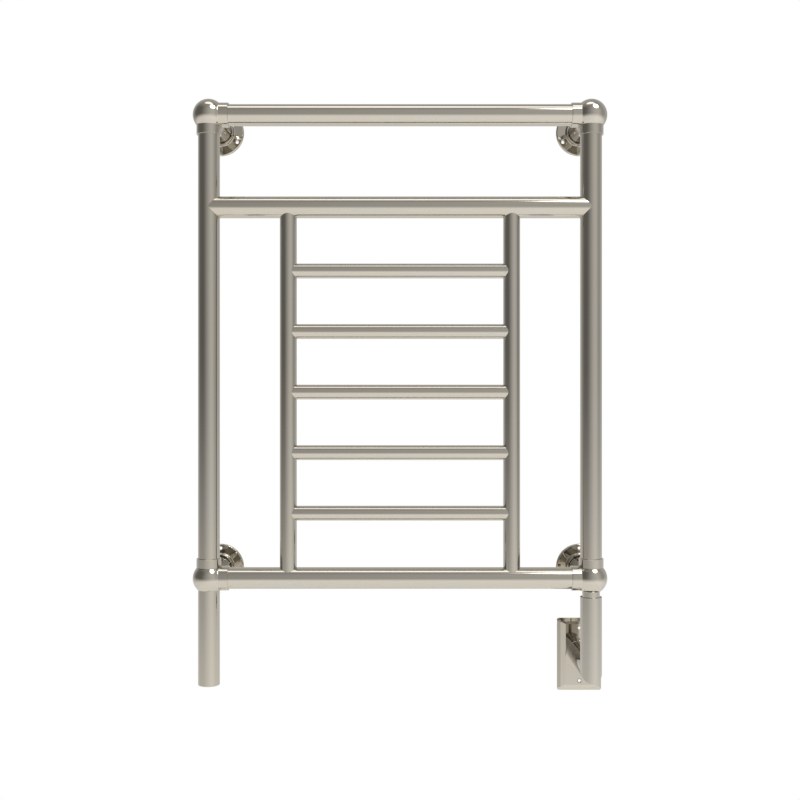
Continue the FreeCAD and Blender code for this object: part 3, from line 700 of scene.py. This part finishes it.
def make_leg_neck():
    low, _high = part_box("leg_neck")
    bore = main_radius - TUBE_WALL
    ball = half_size("lower_right_ball").y
    inside_ball = math.sqrt(ball ** 2 - NECK_RADIUS ** 2) - MM
    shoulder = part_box("right_leg")[1].z - low.z
    top = -rail_z - inside_ball - low.z
    skin = Skin(upright_at((post_x, frame_y, low.z)))
    spin(skin, outline_strips([
        (NECK_BORE_RADIUS, 0),
        (bore, 0),
        (bore, shoulder, RIM_CHAMFER),
        (NECK_RADIUS, shoulder, RIM_CHAMFER),
        (NECK_RADIUS, top),
        (NECK_BORE_RADIUS, top),
    ]))
    finish_piece(skin, "leg_neck")


def make_right_leg():
    """The leg and the elbow tube, mitred into a square corner."""
    leg_low, leg_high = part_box("right_leg")
    elbow_z = middle("elbow_tube").z
    skin = Skin(upright_at((post_x, frame_y, elbow_z)))
    shaped_tube(skin, main_radius, TUBE_WALL, lambda x, y: y, level(leg_high.z - elbow_z))
    finish_piece(skin, "right_leg")
    skin = Skin(placement((post_x, frame_y, elbow_z), (-1, 0, 0), (0, 0, 1), (0, 1, 0)))
    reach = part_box("elbow_tube")[1].y - frame_y
    shaped_tube(skin, main_radius, TUBE_WALL, lambda x, y: y, level(reach))
    finish_piece(skin, "elbow_tube")


# Wall plate -----------------------------------------------------------------------------------

def plate_turns():
    """Points round a rectangle: the signs of the corner, and the outward direction there."""
    for quarter in range(4):
        side = (1 if quarter in (0, 3) else -1, 1 if quarter in (0, 1) else -1)
        for k in range(PLATE_CORNER_STEPS + 1):
            angle = math.pi / 2 * (quarter + k / PLATE_CORNER_STEPS)
            yield side, (math.cos(angle), math.sin(angle))


def plate_meridian(side, out):
    """
    The plate's section at one point of its outline, from the hollow's floor round the edge and
    up the steep bevel and the shallow slope to the face.
    """
    half = half_size("wall_plate")
    depth = half.y * 2
    face_inset = PLATE_FACE_SIDE_INSET * out[0] ** 2 + PLATE_FACE_END_INSET * out[1] ** 2
    strips = outline_strips([
        (-PLATE_BEVEL, 0),
        (0, 0, PLATE_EDGE_ROUND),
        (0, PLATE_EDGE, PLATE_EDGE_ROUND),
        (-PLATE_BEVEL, PLATE_SHOULDER, PLATE_SHOULDER_ROUND),
        (-face_inset, depth),
        (-face_inset, PLATE_HOLLOW_DEPTH),
        (-PLATE_BEVEL, PLATE_HOLLOW_DEPTH),
    ])[:-2]

    def placed(inset, height):
        bevel = min(inset, PLATE_BEVEL)
        slope = (inset - bevel) / (face_inset - PLATE_BEVEL)
        corner = PLATE_CORNER + (PLATE_FACE_CORNER - PLATE_CORNER) * bevel / PLATE_BEVEL
        inset_x = bevel + slope * (PLATE_FACE_SIDE_INSET - PLATE_BEVEL)
        inset_y = bevel + slope * (PLATE_FACE_END_INSET - PLATE_BEVEL)
        return (side[0] * (half.x - inset_x - corner) + corner * out[0],
                side[1] * (half.z - inset_y - corner) + corner * out[1], height)

    return [[(placed(-point.x, point.y), (out[0] * normal.x, out[1] * normal.x, normal.y))
             for point, normal in strip] for strip in strips]


def make_wall_plate():
    depth = half_size("wall_plate").y * 2
    at = Vector((middle("wall_plate").x, 0, middle("wall_plate").z))
    skin = Skin(on_wall_at(at))
    meridians = [plate_meridian(side, out) for side, out in plate_turns()]
    weave(skin, meridians)
    front_loops = [[strips[-1][-1][0] for strips in meridians]]
    back_loops = [[strips[0][0][0] for strips in meridians]]
    for side in (-1, 1):
        front, back = screw_hole(skin, (0, PLATE_SCREW_SPACING / 2 * side), PLATE_SCREW_RADIUS,
                                 PLATE_SCREW_SINK, depth, PLATE_HOLLOW_DEPTH)
        front_loops.append(front)
        back_loops.append(back)
    tube_hole = main_radius + HAIRLINE
    rings = [circle(tube_hole, depth), circle(tube_hole, PLATE_HOLLOW_DEPTH)]
    inward = [(-x, -y, 0) for x, y, _ in rings[0]]
    skin.grid(rings, [inward, inward])
    skin.flat_region(front_loops + [rings[0]], (0, 0, 1))
    skin.flat_region(back_loops + [rings[1]], (0, 0, -1))
    finish_piece(skin, "wall_plate")


def make_plate_ring():
    low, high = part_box("plate_ring")
    radius = half_size("plate_ring").x
    height = high.y - low.y
    bore = main_radius + HAIRLINE
    skin = Skin(on_wall_at((post_x, high.y, middle("plate_ring").z)))
    spin(skin, outline_strips([
        (bore, 0),
        (radius, 0),
        (radius, height, RING_EDGE_ROUND),
        (bore, height),
    ]))
    finish_piece(skin, "plate_ring")


# Studio ---------------------------------------------------------------------------------------

# The light that comes from each compass direction, first above the horizon and then below it:
# degrees from the camera, positive to its right, with a dark flag on the left. The levels were
# worked out from brightness readings of the photograph's reflections, then adjusted on renders.
AROUND = [
    (-180, 0.47), (-145, 0.46), (-120, 0.31), (-100, 0.16), (-70, 0.12), (-42, 0.145), (-25, 0.235),
    (-8, 0.33), (10, 0.43), (25, 0.485), (40, 0.505), (55, 0.45), (70, 0.37), (85, 0.32), (110, 0.41),
    (180, 0.47),
]
AROUND_LOW = [
    (-180, 0.66), (-120, 0.71), (-40, 0.75), (20, 0.85), (45, 0.88), (75, 0.84), (110, 0.76),
    (150, 0.67), (180, 0.66),
]
CEILING_FRONT = 0.28            # the ceiling over the camera
CEILING_BACK = 0.37             # the ceiling behind the object
CEILING_TURN = (-0.1, 0.4)      # the part of a direction along +Y where one turns into the other
WALL_TOP = (35, 68)             # degrees up, where the walls turn into the ceiling
WALL_FOOT = (4, -25)            # degrees up, where they turn into the lower part of the room
FILL_LIGHT = 0.83               # what the floor is lit by
ROOM_LIGHT = 1.19               # what the values above are times, in all
DEEP_REFLECTION_LIGHT = 0.62    # the same, for what is reflected several times over
DEEP_REFLECTION = (2, 4)        # ray depths, from one reflection to several


def math_node(tree, operation, first, second=None):
    node = tree.nodes.new("ShaderNodeMath")
    node.operation = operation
    for socket, value in zip(node.inputs, (first, second)):
        if value is None:
            continue
        if isinstance(value, (int, float)):
            socket.default_value = value
        else:
            tree.links.new(value, socket)
    return node.outputs["Value"]


def smooth_step(tree, value, start, end):
    """0 at start, 1 at end."""
    node = tree.nodes.new("ShaderNodeMapRange")
    node.interpolation_type = "SMOOTHSTEP"
    node.inputs["From Min"].default_value = start
    node.inputs["From Max"].default_value = end
    tree.links.new(value, node.inputs["Value"])
    return node.outputs["Result"]


def mix_values(tree, factor, first, second):
    node = tree.nodes.new("ShaderNodeMix")
    for socket, value in ((node.inputs[0], factor), (node.inputs[2], first), (node.inputs[3], second)):
        if isinstance(value, (int, float)):
            socket.default_value = value
        else:
            tree.links.new(value, socket)
    return node.outputs[0]


def all_round(tree, turn, lights):
    """The light of each compass direction; turn runs from 0 to 1 round the room."""
    ramp = tree.nodes.new("ShaderNodeValToRGB")
    ramp.color_ramp.interpolation = "CARDINAL"
    stops = ramp.color_ramp.elements
    while len(stops) < len(lights):
        stops.new(0.5)
    for stop, (bearing, light) in zip(stops, lights):
        stop.position = bearing / 360 + 0.5
        stop.color = (light, light, light, 1)
    tree.links.new(turn, ramp.inputs["Fac"])
    return ramp.outputs["Color"]


def make_world():
    """A studio room: white behind the object for the camera, soft zones in what it reflects."""
    world = bpy.data.worlds.new("studio")
    bpy.context.scene.world = world
    world.use_nodes = True
    tree = world.node_tree
    tree.nodes.clear()
    direction = tree.nodes.new("ShaderNodeTexCoord").outputs["Generated"]
    split = tree.nodes.new("ShaderNodeSeparateXYZ")
    tree.links.new(direction, split.inputs["Vector"])
    x, y, z = split.outputs
    compass = math_node(tree, "ARCTAN2", x, math_node(tree, "MULTIPLY", y, -1.0))
    turn = math_node(tree, "ADD", math_node(tree, "DIVIDE", compass, 2 * math.pi), 0.5)
    elevation = math_node(tree, "DEGREES", math_node(tree, "ARCSINE", z))
    ceiling = mix_values(tree, smooth_step(tree, y, *CEILING_TURN), CEILING_FRONT, CEILING_BACK)
    walls = mix_values(tree, smooth_step(tree, elevation, *WALL_TOP),
                       all_round(tree, turn, AROUND), ceiling)
    room = mix_values(tree, smooth_step(tree, elevation, *WALL_FOOT), walls,
                      all_round(tree, turn, AROUND_LOW))
    path = tree.nodes.new("ShaderNodeLightPath")
    brightness = mix_values(tree, smooth_step(tree, path.outputs["Ray Depth"], *DEEP_REFLECTION),
                            ROOM_LIGHT, DEEP_REFLECTION_LIGHT)
    room = math_node(tree, "MULTIPLY", room, brightness)
    filled = mix_values(tree, path.outputs["Is Diffuse Ray"], room, FILL_LIGHT)
    background = tree.nodes.new("ShaderNodeBackground")
    tree.links.new(mix_values(tree, path.outputs["Is Camera Ray"], filled, 1.0),
                   background.inputs["Color"])
    output = tree.nodes.new("ShaderNodeOutputWorld")
    tree.links.new(background.outputs["Background"], output.inputs["Surface"])


def softbox(name, bearing, elevation, distance, width, height, brightness, edge):
    """
    An area light that faces the object, as bright as a surface of that radiance. Its light
    falls off over the outer part of its radius, from edge to 1.
    """
    light = bpy.data.lights.new(name, "AREA")
    light.shape = "RECTANGLE"
    light.size = width
    light.size_y = height
    light.energy = brightness * math.pi * width * height
    light.use_nodes = True
    tree = light.node_tree
    across = tree.nodes.new("ShaderNodeVectorMath")
    across.operation = "DISTANCE"
    across.inputs[1].default_value = (0.5, 0.5, 0)
    place = tree.nodes.new("ShaderNodeNewGeometry")
    tree.links.new(place.outputs["Parametric"], across.inputs[0])
    radius = math_node(tree, "MULTIPLY", across.outputs["Value"], 2.0)
    tree.links.new(smooth_step(tree, radius, 1, edge), tree.nodes["Emission"].inputs["Strength"])
    lamp = bpy.data.objects.new(name, light)
    bpy.context.scene.collection.objects.link(lamp)
    bearing, elevation = math.radians(bearing), math.radians(elevation)
    direction = Vector((math.sin(bearing) * math.cos(elevation),
                        -math.cos(bearing) * math.cos(elevation), math.sin(elevation)))
    lamp.location = direction * distance
    lamp.rotation_euler = direction.to_track_quat("Z", "Y").to_euler()
    lamp.visible_camera = False


FLOOR_Z = -1.0
FLOOR_RADIUS = 1.1
FLOOR_CENTRE_Y = -0.45
FLOOR_THICKNESS = 20 * MM
FLOOR_EDGE_ROUND = 5 * MM


def make_floor():
    """A round pale floor, which ends behind the object before the camera can see it."""
    material, tree, shader, place = new_material("pale_floor")
    grain = noise(tree, place.outputs["Object"], scale=40.0, detail=3.0)
    tree.links.new(blended(tree, ranged(tree, grain, 0, 1), (0.86, 0.86, 0.855), (0.84, 0.84, 0.835)),
                   shader.inputs["Base Color"])
    shader.inputs["Roughness"].default_value = 0.8
    skin = Skin(Matrix.Translation((0, FLOOR_CENTRE_Y, FLOOR_Z)))
    spin(skin, outline_strips([
        (0, -FLOOR_THICKNESS),
        (FLOOR_RADIUS, -FLOOR_THICKNESS, FLOOR_EDGE_ROUND),
        (FLOOR_RADIUS, 0, FLOOR_EDGE_ROUND),
        (0, 0),
    ]))
    floor = skin.build("floor", material)


CAMERA_DISTANCE = 1.764         # from the wall
CAMERA_HEIGHT = -0.07935
LENS_MM = 50
SENSOR_MM = 36


def make_camera():
    """In front of the object, level, a little below the middle of its frame."""
    camera = bpy.data.cameras.new("camera")
    camera.lens = LENS_MM
    camera.sensor_width = SENSOR_MM
    holder = bpy.data.objects.new("camera", camera)
    bpy.context.scene.collection.objects.link(holder)
    holder.location = (0, -CAMERA_DISTANCE, CAMERA_HEIGHT)
    holder.rotation_euler = (math.radians(90), 0, 0)
    bpy.context.scene.camera = holder


# Making ---------------------------------------------------------------------------------------

def dress_cad_nodes():
    """Gives every CAD node the material of its slot, the inner pieces among them."""
    for part in frame["record"]["subparts"]:
        for slot in nodes[part["node"]].material_slots:
            slot.material = MATERIALS[part["material_slot"]]


make_camera()
make_world()
softbox("key_softbox", bearing=40, elevation=52, distance=6.6, width=4.0, height=3.8,
        brightness=6, edge=0.7)
softbox("overhead_softbox", bearing=-8, elevation=82, distance=6.4, width=5.0, height=2.9,
        brightness=1.27, edge=0.7)
make_floor()
make_posts()
make_rails()
make_inner_uprights()
make_rungs()
make_balls()
make_sleeves()
make_flanges()
make_left_leg()
make_leg_neck()
make_right_leg()
make_wall_plate()
make_plate_ring()

dress_cad_nodes()

bpy.context.scene.view_settings.view_transform = "Standard"
